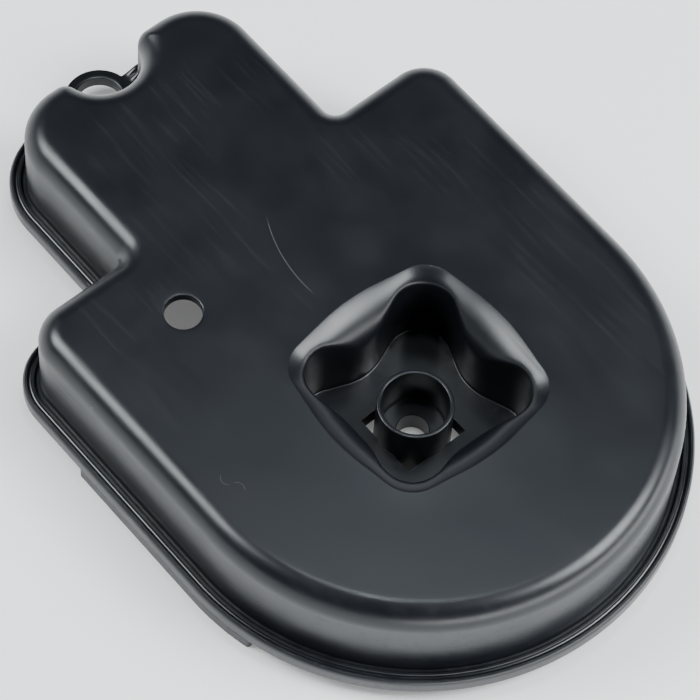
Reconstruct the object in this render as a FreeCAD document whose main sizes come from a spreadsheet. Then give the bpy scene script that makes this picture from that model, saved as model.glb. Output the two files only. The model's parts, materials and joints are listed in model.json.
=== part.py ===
"""Air filter housing for a small engine: a lift-off cover over a filter panel and a base tray.

The row's frame: the origin is on the centre bolt's axis, at the plane that the tray rests on.
+X points to the round end, the neck points along -X, and +Z is up. All sizes are in millimetres.
"""
import FreeCAD, Part
import math
import os
import re
import Sketcher

from FreeCAD import Vector

# name, value, what it is
SIZES = [
    # cover: heights are measured from the underside of its flange
    ("flange_level", 3.1, "height of the cover's flange above the rest plane"),
    ("body_radius", 55.0, "outside radius of the round end, and half the body's width"),
    ("shoulder_reach", 60.4, "from the centre bolt to the shoulder wall"),
    ("shoulder_round", 8.6, "corner radius of the shoulders"),
    ("neck_half", 28.2, "half the neck's width"),
    ("neck_reach", 103.0, "from the centre bolt to the neck's end wall"),
    ("neck_round", 14.2, "corner radius of the neck"),
    ("throat_round", 2.5, "inside corner between neck and shoulder"),
    ("flange_throat", 0.8, "the same corner of the flange"),
    ("roof_height", 24.5, "top of the roof"),
    ("crown_round", 5.2, "rounding of the roof's edge"),
    ("wall", 2.2, "moulded wall thickness"),
    ("cavity_round", 1.2, "rounding inside the roof's edge"),
    ("flange_width", 3.75, "how far the flange stands out"),
    ("flange_depth", 4.0, "height of the flange"),
    ("groove_inner", 0.3, "groove in the flange's top, from the wall"),
    ("groove_outer", 1.2, "outer side of that groove"),
    ("groove_depth", 0.8, "depth of that groove"),
    # eyelet at the neck's end, and the notch that makes room for its bolt
    ("eyelet_reach", 105.0, "from the centre bolt to the eyelet"),
    ("eyelet_radius", 7.9, "outside of the eyelet"),
    ("eyelet_bore", 5.2, "hole of the eyelet"),
    ("eyelet_depth", 2.6, "thickness of the eyelet"),
    ("eyelet_lip", 0.5, "height of the lip round the eyelet's hole"),
    ("cut_spare", 1.0, "how far above its material a cut may start"),
    ("notch_reach", 103.1, "from the centre bolt to the notch's axis"),
    ("notch_side", 1.1, "how far the notch's axis is off the middle"),
    ("notch_radius", 9.0, "radius of the notch"),
    ("notch_turn", 1.5, "inside corners of the wall beside the notch"),
    # side bolt hole
    ("side_reach", 41.7, "from the centre bolt to the side bolt, along X"),
    ("side_offset", 27.6, "from the centre bolt to the side bolt, along Y"),
    ("side_bore", 4.0, "hole of the side bolt"),
    # four-lobed well
    ("lobe_offset", 11.55, "lobe centre from the axis, along X and Y"),
    ("lobe_radius", 6.9, "radius of a lobe"),
    ("bulge_reach", 15.3, "from the axis to a side's bulge, low in the well"),
    ("rim_offset", 13.4, "corner centre of the well's rim, along X and Y"),
    ("rim_round", 7.5, "corner radius of the well's rim"),
    ("rim_reach", 22.6, "from the axis to the middle of the rim's side"),
    ("flare_depth", 7.0, "depth of the flare under the rim"),
    ("well_wall", 2.0, "wall of the well"),
    ("well_floor", 4.0, "top of the well's floor"),
    ("window_half", 7.7, "half the square window round the tube's foot"),
    ("window_round", 0.5, "corner radius of that window"),
    # centre tube
    ("tube_radius", 8.1, "outside of the centre tube"),
    ("tube_bore", 7.1, "bore of the centre tube, for the bolt's head"),
    ("tube_top", 13.5, "top of the centre tube"),
    ("seat_height", 2.5, "seat of the bolt's head"),
    ("centre_bore", 3.4, "hole of the centre bolt"),
    ("rim_side_round", 45.0, "radius of the rim's long sides"),
    ("bulge_round", 12.0, "radius of the bulges between the lobes"),
    ("rib_radius", 48.0, "outside of the rib that holds the filter down"),
    ("rib_width", 1.4, "width of that rib"),
    ("rib_height", 2.6, "height of that rib"),
    # tray
    ("tray_reach", 37.4, "from the centre bolt to the tray's straight end"),
    ("tray_radius", 52.2, "outside of the tray's wall"),
    ("tray_round", 4.0, "corner radius of the tray"),
    ("tray_wall", 2.0, "thickness of the tray's walls"),
    ("tray_floor", 2.2, "thickness of the tray's floor"),
    ("ledge_height", 9.6, "top of the ledge that the filter sits on"),
    ("ledge_width", 2.5, "width of the ledge"),
    ("pan_round", 1.0, "corner radius of the pan inside the ledge"),
    ("fence_round", 2.5, "corner radius inside the tray's wall"),
    ("fence_height", 2.5, "how far the tray's wall stands above the ledge"),
    ("foot_radius", 56.5, "outside of the tray's foot flange"),
    ("foot_depth", 2.9, "height of the tray's foot flange"),
    ("lip_radius", 58.6, "outside of the side lip"),
    ("lip_angle", 14.5, "how far round the body the side lip reaches, in degrees"),
    ("lip_round", 0.8, "corner radius of the side lip"),
    ("opening_half", 26.4, "half the tray's opening round the well"),
    ("opening_round", 9.0, "corner radius of that opening"),
    ("post_radius", 1.5, "posts that carry the support grid"),
    ("seal_radius", 54.2, "middle of the rim seal"),
    ("seal_half", 0.9, "half the rim seal's width"),
    ("seal_depth", 1.2, "depth of the seal's groove in the foot flange"),
    ("seal_reach", 34.5, "from the centre bolt to the seal's ends"),
    # outlet to the carburettor
    ("outlet_reach", 38.3, "from the centre bolt to the outlet"),
    ("outlet_bore", 7.0, "bore of the outlet's collar"),
    ("collar_radius", 8.2, "outside of the outlet's rubber collar"),
    ("collar_flange", 9.4, "outside of the collar's flange"),
    ("collar_flange_depth", 1.0, "thickness of the collar's flange"),
    ("screen_level", 5.4, "underside of the backfire screen"),
    ("screen_radius", 9.0, "outside of the backfire screen"),
    ("screen_depth", 0.4, "thickness of the backfire screen"),
    ("gasket_radius", 10.4, "outside of the outlet's gasket"),
    ("gasket_depth", 0.8, "thickness of the outlet's gasket"),
    ("retainer_depth", 0.9, "thickness of the screen's retainer"),
    ("retainer_round", 2.2, "corner radius of the retainer"),
    ("retainer_bore", 7.6, "opening of the retainer"),
    ("screw_across", 5.8, "retainer screw from the outlet's axis, along X"),
    ("screw_along", 10.2, "retainer screw from the outlet's axis, along Y"),
    ("screw_radius", 1.0, "thread of a retainer screw"),
    ("screw_head", 1.8, "head of a retainer screw"),
    ("screw_head_depth", 0.8, "height of a screw's head"),
    ("screw_length", 3.6, "length of a screw under its head"),
    ("slot_width", 0.5, "width of a screw head's slot"),
    ("slot_depth", 0.4, "depth of that slot"),
    ("slot_round", 0.1, "corner radius of that slot"),
    ("boss_radius", 2.0, "boss that a retainer screw goes into"),
    ("stud_offset", 17.5, "from the outlet's axis to each stud's bush"),
    ("stud_bore", 2.6, "bore of a stud's bush"),
    ("bush_radius", 3.4, "outside of a stud's bush"),
    ("bush_height", 4.6, "height of a stud's bush"),
    # breather and drain
    ("breather_side", 13.0, "breather nipple's place along Y"),
    ("breather_level", 5.6, "breather nipple's axis above the rest plane"),
    ("breather_radius", 2.3, "outside of the nipple"),
    ("breather_barb", 2.8, "outside of the nipple's barb"),
    ("breather_bore", 1.4, "bore of the nipple"),
    ("breather_length", 9.0, "length of the nipple outside the tray"),
    ("breather_collar", 3.2, "outside of the collar against the tray's wall"),
    ("breather_collar_depth", 1.2, "thickness of that collar"),
    ("barb_length", 2.4, "length of the nipple's barb"),
    ("drain_reach", 26.0, "drain plug's place along -X"),
    ("drain_side", 38.0, "drain plug's place along Y"),
    ("drain_radius", 3.0, "shank of the drain plug"),
    ("drain_head", 4.2, "head of the drain plug"),
    ("drain_head_depth", 1.2, "thickness of the drain plug's head"),
    # filter panel
    ("filter_radius", 49.8, "outside of the filter's rim"),
    ("filter_reach", 35.1, "from the centre bolt to the filter's straight end"),
    ("filter_round", 4.0, "outside corner radius of the filter"),
    ("filter_hole", 26.0, "half the filter's opening round the well"),
    ("filter_band", 4.0, "width of the filter's rubber rims"),
    ("filter_depth", 9.0, "height of the filter's rims"),
    ("pleat_pitch", 4.2, "spacing of the pleats"),
    ("pleat_paper", 2.4, "height of the steep paper band, straight up through it"),
    ("pleat_top", 0.4, "how far the folds stay under the rims"),
    ("mesh_depth", 0.4, "thickness of the filter's wire mesh"),
    ("foam_depth", 3.4, "thickness of the foam layer"),
    ("foam_inset", 0.4, "how far the foam stays inside the filter's outline"),
    # support grid
    ("grid_radius", 47.4, "outside of the support grid"),
    ("grid_reach", 32.6, "from the centre bolt to the grid's straight end"),
    ("grid_round", 1.5, "outside corner radius of the grid"),
    ("grid_inner_round", 0.5, "corner radius inside the grid's frame"),
    ("grid_hole", 29.2, "half the grid's opening round the well"),
    ("grid_band", 1.6, "width of the grid's frame"),
    ("grid_depth", 1.6, "thickness of the grid"),
    ("grid_pitch", 9.0, "spacing of the grid's bars"),
    ("grid_bar", 1.2, "width of a bar"),
    # play
    ("play", 0.3, "gap between pieces that only lie in each other"),
    ("fit_gap", 0.05, "gap round a piece that is pushed or screwed in"),
]

doc = FreeCAD.newDocument("air_filter_housing")
sheet = doc.addObject("Spreadsheet::Sheet", "sizes")


def fill_sheet():
    """Write every driving dimension into the sheet, with its name as the cell's alias."""
    for row, (name, number, meaning) in enumerate(SIZES, start=1):
        sheet.set("A%d" % row, name)
        sheet.set("B%d" % row, str(number))
        sheet.set("C%d" % row, meaning)
        sheet.setAlias("B%d" % row, name)
    doc.recompute()


NAMES = {name for name, number, meaning in SIZES}


def linked(expression):
    """The expression with each size's name pointing into the sheet."""
    return re.sub(r"[a-z_]+", lambda word: "sizes." + word[0] if word[0] in NAMES else word[0],
                  str(expression))


def value(expression):
    """The number that the expression has now."""
    return float(sheet.evalExpression(linked(expression)))


# ---------------------------------------------------------------- sketches

def new_body(label, height="0"):
    """A PartDesign body whose own z = 0 lies at the given height."""
    body = doc.addObject("PartDesign::Body", label)
    body.Label = label
    body.setExpression("Placement.Base.z", linked(height))
    return body


def new_sketch(body, name, height="0", plane="XY_Plane"):
    """A sketch on one of the body's own origin planes, moved along its normal."""
    sketch = body.newObject("Sketcher::SketchObject", body.Label + "_" + name)
    base = [part for part in body.Origin.OriginFeatures if part.Role == plane]
    sketch.AttachmentSupport = [(base[0], "")]
    sketch.MapMode = "FlatFace"
    sketch.setExpression("AttachmentOffset.Base.z", linked(height))
    return sketch


def bind(sketch, constraint, expression):
    """Add a constraint and tie its value to the sheet."""
    sketch.setExpression("Constraints[%d]" % sketch.addConstraint(constraint), linked(expression))


def fix_point(sketch, geometry, point, x, y):
    """Hold a point of the sketch at (x, y), both given as expressions."""
    for kind, axis, expression in (("DistanceX", -2, x), ("DistanceY", -1, y)):
        number = value(expression)
        if abs(number) < 1e-9:
            sketch.addConstraint(Sketcher.Constraint("PointOnObject", geometry, point, axis))
        else:
            bind(sketch, Sketcher.Constraint(kind, -1, 1, geometry, point, number), expression)


def add_circle(sketch, x, y, radius):
    """A circle with its centre and radius tied to the sheet."""
    circle = Part.Circle(Vector(value(x), value(y), 0), Vector(0, 0, 1), value(radius))
    index = sketch.addGeometry(circle, False)
    fix_point(sketch, index, 3, x, y)
    bind(sketch, Sketcher.Constraint("Radius", index, value(radius)), radius)


def tangent_run(first, second):
    """Ends of the straight run from one arc to the next; an arc is (centre, radius, turn)."""
    across = second[0] - first[0]
    span = across.Length
    lean = (second[2] * second[1] - first[2] * first[1]) / span
    along = across / span
    left = Vector(-along.y, along.x, 0)
    normal = along * lean + left * math.sqrt(max(0.0, 1.0 - lean * lean))
    return first[0] - normal * (first[2] * first[1]), second[0] - normal * (second[2] * second[1])


def add_outline(sketch, arcs):
    """A closed outline of arcs joined by tangent straight runs, anticlockwise.

    Each arc is (x, y, radius, turn) with expressions for its centre and radius. The turn is 1
    where the outline bends left round it, and -1 where it bends right.
    """
    circles = [(Vector(value(x), value(y), 0), value(radius), turn) for x, y, radius, turn in arcs]
    count = len(arcs)
    runs = [tangent_run(circles[i], circles[(i + 1) % count]) for i in range(count)]
    arc_ids = []
    for i, (centre, radius, turn) in enumerate(circles):
        start, end = runs[i - 1][1], runs[i][0]
        if turn < 0:
            start, end = end, start
        angles = [math.atan2(point.y - centre.y, point.x - centre.x) for point in (start, end)]
        circle = Part.Circle(centre, Vector(0, 0, 1), radius)
        arc_ids.append(sketch.addGeometry(Part.ArcOfCircle(circle, angles[0], angles[1]), False))
    touching = [(end - start).Length < 1e-4 for start, end in runs]
    # where two arcs touch with no run between them, the smaller one's radius follows from that
    follows = {min(i, (i + 1) % count, key=lambda k: circles[k][1])
               for i in range(count) if touching[i]}
    for i, (x, y, radius, turn) in enumerate(arcs):
        fix_point(sketch, arc_ids[i], 3, x, y)
        if i not in follows:
            bind(sketch, Sketcher.Constraint("Radius", arc_ids[i], value(radius)), radius)
    for i, (start, end) in enumerate(runs):
        leave = (arc_ids[i], 2 if arcs[i][3] > 0 else 1)
        other = (i + 1) % count
        arrive = (arc_ids[other], 1 if arcs[other][3] > 0 else 2)
        if touching[i]:
            sketch.addConstraint(Sketcher.Constraint("Tangent", *leave, *arrive))
            continue
        line = sketch.addGeometry(Part.LineSegment(start, end), False)
        sketch.addConstraint(Sketcher.Constraint("Tangent", *leave, line, 1))
        sketch.addConstraint(Sketcher.Constraint("Tangent", line, 2, *arrive))


# ---------------------------------------------------------------- features

def proven(feature):
    """Recompute, and refuse a feature that failed or left an invalid shape."""
    doc.recompute()
    if "Invalid" in feature.State or feature.Shape.isNull() or not feature.Shape.isValid():
        raise RuntimeError(feature.Label + " failed")
    return feature


def pad(body, sketch, length, name="pad"):
    """Add material above the sketch."""
    feature = body.newObject("PartDesign::Pad", body.Label + "_" + name)
    feature.Profile = sketch
    feature.Refine = False
    feature.setExpression("Length", linked(length))
    return proven(feature)


def pocket(body, sketch, length, name="pocket", upwards=False):
    """Cut from the sketch, downwards unless told otherwise, and make sure that something went."""
    doc.recompute()
    before = body.Shape.Volume
    feature = body.newObject("PartDesign::Pocket", body.Label + "_" + name)
    feature.Profile = sketch
    feature.Refine = False
    feature.Reversed = upwards
    feature.setExpression("Length", linked(length))
    if proven(feature).Shape.Volume > before - 0.01:
        raise RuntimeError("nothing was cut by " + feature.Label)
    return feature


def fillet(body, radius, wanted, name="fillet"):
    """Round the edges of the body's tip for which wanted(edge) is true."""
    base = body.Tip
    edges = ["Edge%d" % number for number, edge in enumerate(base.Shape.Edges, start=1)
             if wanted(edge)]
    feature = body.newObject("PartDesign::Fillet", body.Label + "_" + name)
    feature.Base = (base, edges)
    feature.Refine = False
    feature.setExpression("Radius", linked(radius))
    return proven(feature)


def lies_at(edge, height):
    """True where the whole edge lies at this height."""
    return edge.BoundBox.ZLength < 0.01 and abs(edge.BoundBox.ZMin - height) < 0.01


def ring_body(label, height, outer, inner, depth):
    """A flat ring between two outlines."""
    body = new_body(label, height)
    sketch = new_sketch(body, "ring")
    add_outline(sketch, outer)
    add_outline(sketch, inner)
    pad(body, sketch, depth)
    return body


# ---------------------------------------------------------------- outlines

def cover_outline(grow, throat):
    """The cover's plan, grown outwards by an expression, with its own throat radius."""
    shoulder_x = "-shoulder_reach + shoulder_round"
    neck_x = "-neck_reach + neck_round"
    throat_x = "-shoulder_reach - (%s) - (%s)" % (grow, throat)
    throat_y = "neck_half + (%s) + (%s)" % (grow, throat)
    half = [(shoulder_x, "body_radius - shoulder_round", "shoulder_round + (%s)" % grow, 1),
            (throat_x, throat_y, throat, -1),
            (neck_x, "neck_half - neck_round", "neck_round + (%s)" % grow, 1)]
    mirrored = [(x, "-(%s)" % y, radius, turn) for x, y, radius, turn in reversed(half)]
    return [("0", "0", "body_radius + (%s)" % grow, 1)] + half + mirrored


def cavity_outline():
    """The inside of the cover's wall, which keeps clear of the notch in the neck's end."""
    outline = cover_outline("-wall", "throat_round + wall")
    turn_x = "-neck_reach + wall + notch_turn"
    reach = "notch_radius + wall + notch_turn"
    rise = "sqrt(pow(%s; 2) - pow(notch_reach - neck_reach + wall + notch_turn; 2))" % reach
    bump = [(turn_x, "%s - notch_side" % rise, "notch_turn", 1),
            ("-notch_reach", "-notch_side", "notch_radius + wall", -1),
            (turn_x, "-(%s) - notch_side" % rise, "notch_turn", 1)]
    return outline[:4] + bump + outline[4:]


def round_end(radius, reach, corner):
    """A plan with a round end towards +X and a straight end towards -X."""
    corner_x = "-(%s) + (%s)" % (reach, corner)
    corner_y = "(%s) - (%s)" % (radius, corner)
    return [("0", "0", radius, 1), (corner_x, corner_y, corner, 1),
            (corner_x, "-(%s)" % corner_y, corner, 1)]


def rounded_square(half, corner, x="0", y="0", half_y=None):
    """A square or a rectangle with round corners, anticlockwise."""
    half_y = half_y or half
    return [("%s + (%s) * ((%s) - (%s))" % (x, sx, half, corner),
             "%s + (%s) * ((%s) - (%s))" % (y, sy, half_y, corner), corner, 1)
            for sx, sy in ((1, -1), (1, 1), (-1, 1), (-1, -1))]


def four_sided(corner_offset, corner, side_centre, side, side_turn):
    """Four corners on the diagonals, with an arc on each side between them."""
    arcs = []
    for quarter in range(4):
        step_x, step_y = ((1, 0), (0, 1), (-1, 0), (0, -1))[quarter]
        lobe_x, lobe_y = ((1, -1), (1, 1), (-1, 1), (-1, -1))[quarter]
        arcs.append(("(%s) * (%d)" % (corner_offset, lobe_x),
                     "(%s) * (%d)" % (corner_offset, lobe_y), corner, 1))
        arcs.append(("(%s) * (%d)" % (side_centre, step_x),
                     "(%s) * (%d)" % (side_centre, step_y), side, side_turn))
    return arcs


def well_lobes(grow):
    """The lower well: four lobes with a bulge between each two."""
    return four_sided("lobe_offset", "lobe_radius + (%s)" % grow, "bulge_reach + bulge_round",
                      "bulge_round - (%s)" % grow, -1)


def well_rim(grow):
    """The well's rim in the roof: a square with bowed sides and round corners."""
    return four_sided("rim_offset", "rim_round + (%s)" % grow, "rim_reach - rim_side_round",
                      "rim_side_round + (%s)" % grow, 1)


# ---------------------------------------------------------------- cover

def loft(body, kind, upper, lower, name):
    """A ruled loft between an outline in the roof and one below the flare."""
    top = new_sketch(body, name + "_top", "roof_height")
    add_outline(top, upper)
    bottom = new_sketch(body, name + "_bottom", "roof_height - flare_depth")
    add_outline(bottom, lower)
    feature = body.newObject("PartDesign::" + kind, body.Label + "_" + name)
    feature.Profile = top
    feature.Sections = [bottom]
    feature.Ruled = True
    feature.Refine = False
    return proven(feature)


def cut_circle(body, name, x, y, radius, top, depth):
    """A round hole or recess, cut downwards from a height."""
    sketch = new_sketch(body, name, top)
    add_circle(sketch, x, y, radius)
    return pocket(body, sketch, depth, name + "_cut")


def pad_circle(body, name, x, y, radius, bottom, height, bore=None):
    """A round boss or tube."""
    sketch = new_sketch(body, name, bottom)
    add_circle(sketch, x, y, radius)
    if bore:
        add_circle(sketch, x, y, bore)
    return pad(body, sketch, height, name + "_pad")


def cut_outline(body, name, outline, top, depth):
    """A recess with any outline, cut downwards from a height."""
    sketch = new_sketch(body, name, top)
    add_outline(sketch, outline)
    return pocket(body, sketch, depth, name + "_cut")


def pad_outline(body, name, outline, bottom, height, inner=None):
    """A raised plate or ring with any outline."""
    sketch = new_sketch(body, name, bottom)
    add_outline(sketch, outline)
    if inner:
        add_outline(sketch, inner)
    return pad(body, sketch, height, name + "_pad")


def make_cover():
    """The one-piece moulded cover with its flange, eyelet, well and centre tube."""
    body = new_body("cover_shell", "flange_level")
    pad_outline(body, "wall", cover_outline("0", "throat_round"), "0", "roof_height")
    fillet(body, "crown_round", lambda edge: lies_at(edge, value("roof_height")), "crown")
    cut_circle(body, "notch", "-notch_reach", "-notch_side", "notch_radius", "roof_height + cut_spare",
               "roof_height + cut_spare - flange_depth")
    pad_outline(body, "flange", cover_outline("flange_width", "flange_throat"), "0", "flange_depth")
    groove = new_sketch(body, "groove", "flange_depth")
    add_outline(groove, cover_outline("groove_outer", "throat_round - groove_outer"))
    add_outline(groove, cover_outline("groove_inner", "throat_round - groove_inner"))
    pocket(body, groove, "groove_depth", "groove_cut")
    cut_circle(body, "notch_floor", "-notch_reach", "-notch_side", "notch_radius",
               "flange_depth + cut_spare", "flange_depth + cut_spare - eyelet_depth")
    pad_circle(body, "eyelet", "-eyelet_reach", "0", "eyelet_radius", "0", "eyelet_depth")
    cut_outline(body, "cavity", cavity_outline(), "roof_height - wall", "roof_height")
    fillet(body, "cavity_round",
           lambda edge: lies_at(edge, value("roof_height - wall")), "cavity_crown")
    loft(body, "AdditiveLoft", well_rim("well_wall"), well_lobes("well_wall"), "flare")
    pad_outline(body, "well", well_lobes("well_wall"), "0", "roof_height - flare_depth")
    loft(body, "SubtractiveLoft", well_rim("0"), well_lobes("0"), "flare_cut")
    cut_outline(body, "well_inside", well_lobes("0"), "roof_height - flare_depth",
                "roof_height - flare_depth - well_floor")
    cut_outline(body, "window", rounded_square("window_half", "window_round"), "well_floor",
                "well_floor")
    pad_circle(body, "tube", "0", "0", "tube_radius", "-flange_level",
               "tube_top + flange_level")
    cut_circle(body, "tube_bore", "0", "0", "tube_bore", "tube_top", "tube_top - seat_height")
    cut_circle(body, "bolt_hole", "0", "0", "centre_bore", "seat_height",
               "seat_height + flange_level")
    cut_circle(body, "side_hole", "-side_reach", "-side_offset", "side_bore", "roof_height",
               "2 * wall")
    pad_circle(body, "eyelet_rim", "-eyelet_reach", "0", "eyelet_bore + eyelet_lip", "0",
               "eyelet_depth + eyelet_lip")
    cut_circle(body, "eyelet_hole", "-eyelet_reach", "0", "eyelet_bore",
               "eyelet_depth + eyelet_lip", "eyelet_depth + 2 * eyelet_lip")
    rib_inside = round_end("rib_radius - rib_width", "filter_reach - filter_band", "filter_round")
    pad_outline(body, "rib", round_end("rib_radius", "filter_reach - filter_band + rib_width",
                                       "filter_round + rib_width"),
                "roof_height - wall - rib_height", "rib_height", rib_inside)
    return body


# ---------------------------------------------------------------- tray and its fittings

def lip_outline():
    """The side lip: a strip along the straight side and a little way round the end."""
    inside = "foot_radius - 2 * lip_round"
    left_x = "-tray_reach + lip_round"
    turn_x = "((%s) * sin(lip_angle))"
    turn_y = "(-(%s) * cos(lip_angle))"
    outer = "lip_radius - lip_round"
    return [("0", "0", "lip_radius", 1),
            (turn_x % outer, turn_y % outer, "lip_round", 1),
            (turn_x % inside, turn_y % inside, "lip_round", 1),
            (left_x, "-(%s)" % inside, "lip_round", 1),
            (left_x, "-(%s)" % outer, "lip_round", 1)]


def seal_outline(gap):
    """The rim seal's U-shaped plan: along both straight sides and round the end."""
    cap = "seal_half + (%s)" % gap
    return [("0", "0", "seal_radius + seal_half + (%s)" % gap, 1),
            ("-seal_reach", "seal_radius", cap, 1),
            ("0", "0", "seal_radius - seal_half - (%s)" % gap, -1),
            ("-seal_reach", "-seal_radius", cap, 1)]


def screw_places():
    """Where the four retainer screws stand."""
    return [("outlet_reach + (%d) * screw_across" % sx, "(%d) * screw_along" % sy)
            for sx, sy in ((1, 1), (-1, 1), (-1, -1), (1, -1))]


def post_places():
    """Where the posts under the support grid stand."""
    return [("0", "%d * (grid_hole + grid_radius) / 2" % side) for side in (1, -1)] + [
        ("-grid_hole / 2", "%d * (grid_hole + grid_radius) / 2" % side) for side in (1, -1)]


def make_tray():
    """The base tray: a D-shaped pan open round the well, with a foot flange and a side lip."""
    body = new_body("base_tray")
    floor_depth = "ledge_height + fence_height"
    pad_outline(body, "foot", round_end("foot_radius", "tray_reach", "tray_round"), "0",
                "foot_depth")
    pad_outline(body, "lip", lip_outline(), "0", "foot_depth")
    pad_outline(body, "walls", round_end("tray_radius", "tray_reach", "tray_round"), "0",
                floor_depth)
    inside = round_end("tray_radius - tray_wall", "tray_reach - tray_wall",
                       "fence_round")
    cut_outline(body, "fence", inside, floor_depth, "fence_height")
    well_side = rounded_square("opening_half + ledge_width", "opening_round + ledge_width")
    ledge = "tray_wall + ledge_width"
    pan = new_sketch(body, "pan", "ledge_height")
    add_outline(pan, round_end("tray_radius - (%s)" % ledge, "tray_reach - (%s)" % ledge,
                               "pan_round"))
    add_outline(pan, well_side)
    pocket(body, pan, "ledge_height - tray_floor", "pan_cut")
    cut_outline(body, "opening", rounded_square("opening_half", "opening_round"), floor_depth,
                floor_depth)
    groove = new_sketch(body, "seal_groove", "foot_depth")
    add_outline(groove, seal_outline("fit_gap"))
    pocket(body, groove, "seal_depth", "seal_groove_cut")
    for number, (x, y) in enumerate(screw_places(), start=1):
        pad_circle(body, "boss%d" % number, x, y, "boss_radius", "tray_floor",
                   "screen_level - tray_floor")
        cut_circle(body, "pilot%d" % number, x, y, "screw_radius + fit_gap", "screen_level",
                   "screw_length")
    for number, (x, y) in enumerate(post_places(), start=1):
        pad_circle(body, "post%d" % number, x, y, "post_radius", "tray_floor",
                   "ledge_height - grid_depth - tray_floor")
    cut_circle(body, "outlet", "outlet_reach", "0", "collar_radius + fit_gap", "tray_floor",
               "tray_floor")
    recess = new_sketch(body, "gasket_recess")
    add_circle(recess, "outlet_reach", "0", "gasket_radius + fit_gap")
    pocket(body, recess, "gasket_depth", "gasket_recess_cut", upwards=True)
    for number, side in enumerate((1, -1), start=1):
        cut_circle(body, "bush_seat%d" % number, "outlet_reach", "%d * stud_offset" % side,
                   "bush_radius", "tray_floor", "tray_floor")
    cut_circle(body, "drain", "-drain_reach", "drain_side", "drain_radius + fit_gap",
               "tray_floor", "tray_floor")
    breather = new_sketch(body, "breather", "-tray_reach", "YZ_Plane")
    add_circle(breather, "breather_side", "breather_level", "breather_radius + fit_gap")
    pocket(body, breather, "tray_wall + ledge_width + cut_spare", "breather_cut", upwards=True)
    return body


def make_seal():
    """The rubber cord between the cover's flange and the tray's foot."""
    body = new_body("rim_seal", "foot_depth - seal_depth")
    pad_outline(body, "cord", seal_outline("0"), "0", "flange_level - foot_depth + seal_depth")
    return body


def make_outlet():
    """What sits in the tray's outlet: gasket, rubber collar, screen, retainer and screws."""
    gasket = new_body("outlet_gasket")
    pad_circle(gasket, "ring", "outlet_reach", "0", "gasket_radius", "0", "gasket_depth",
               "outlet_bore")
    collar = new_body("outlet_collar", "gasket_depth")
    pad_circle(collar, "sleeve", "outlet_reach", "0", "collar_radius", "0",
               "screen_level - gasket_depth", "outlet_bore")
    pad_circle(collar, "flange", "outlet_reach", "0", "collar_flange",
               "tray_floor - gasket_depth", "collar_flange_depth", "outlet_bore")
    screen = new_body("backfire_screen", "screen_level")
    pad_circle(screen, "disc", "outlet_reach", "0", "screen_radius", "0", "screen_depth")
    retainer = new_body("screen_retainer", "screen_level + screen_depth")
    plate = new_sketch(retainer, "plate")
    add_outline(plate, rounded_square("screw_across + retainer_round", "retainer_round",
                                      "outlet_reach", "0", "screw_along + retainer_round"))
    add_circle(plate, "outlet_reach", "0", "retainer_bore")
    for x, y in screw_places():
        add_circle(plate, x, y, "screw_radius + fit_gap")
    pad(retainer, plate, "retainer_depth")
    screws = [make_screw(number, x, y) for number, (x, y) in enumerate(screw_places(), start=1)]
    return [gasket, collar, screen, retainer] + screws


def make_screw(number, x, y):
    """One retainer screw: a slotted cheese head on a plain shank."""
    body = new_body("retainer_screw_%d" % number, "screen_level + screen_depth + retainer_depth")
    pad_circle(body, "head", x, y, "screw_head", "0", "screw_head_depth")
    pad_circle(body, "shank", x, y, "screw_radius", "-screw_length", "screw_length")
    slot = new_sketch(body, "slot", "screw_head_depth")
    add_outline(slot, rounded_square("screw_head + cut_spare", "slot_round", x, y,
                                     "slot_width / 2"))
    pocket(body, slot, "slot_depth", "slot_cut")
    return body


def make_bushes():
    """The two steel bushes for the carburettor's studs, pressed into the tray's floor."""
    bushes = []
    for number, side in enumerate((1, -1), start=1):
        body = new_body("stud_bush_%d" % number)
        pad_circle(body, "tube", "outlet_reach", "%d * stud_offset" % side, "bush_radius", "0",
                   "bush_height", "stud_bore")
        bushes.append(body)
    return bushes


def make_breather():
    """The breather nipple: a barbed tube through the tray's straight end."""
    body = new_body("breather_nipple")
    spans = [("tube", "breather_radius", "-tray_reach - breather_length",
              "breather_length + tray_wall + ledge_width"),
             ("collar", "breather_collar", "-tray_reach - breather_collar_depth",
              "breather_collar_depth"),
             ("barb", "breather_barb", "-tray_reach - breather_length", "barb_length")]
    for name, radius, start, length in spans:
        sketch = new_sketch(body, name, start, "YZ_Plane")
        add_circle(sketch, "breather_side", "breather_level", radius)
        pad(body, sketch, length, name + "_pad")
    bore = new_sketch(body, "bore", "-tray_reach - breather_length", "YZ_Plane")
    add_circle(bore, "breather_side", "breather_level", "breather_bore")
    pocket(body, bore, "2 * breather_length", "bore_cut", upwards=True)
    return body


def make_drain():
    """The rubber plug in the tray's drain hole."""
    body = new_body("drain_plug")
    pad_circle(body, "shank", "-drain_reach", "drain_side", "drain_radius", "0", "tray_floor")
    pad_circle(body, "head", "-drain_reach", "drain_side", "drain_head", "tray_floor",
               "drain_head_depth")
    return body


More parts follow.
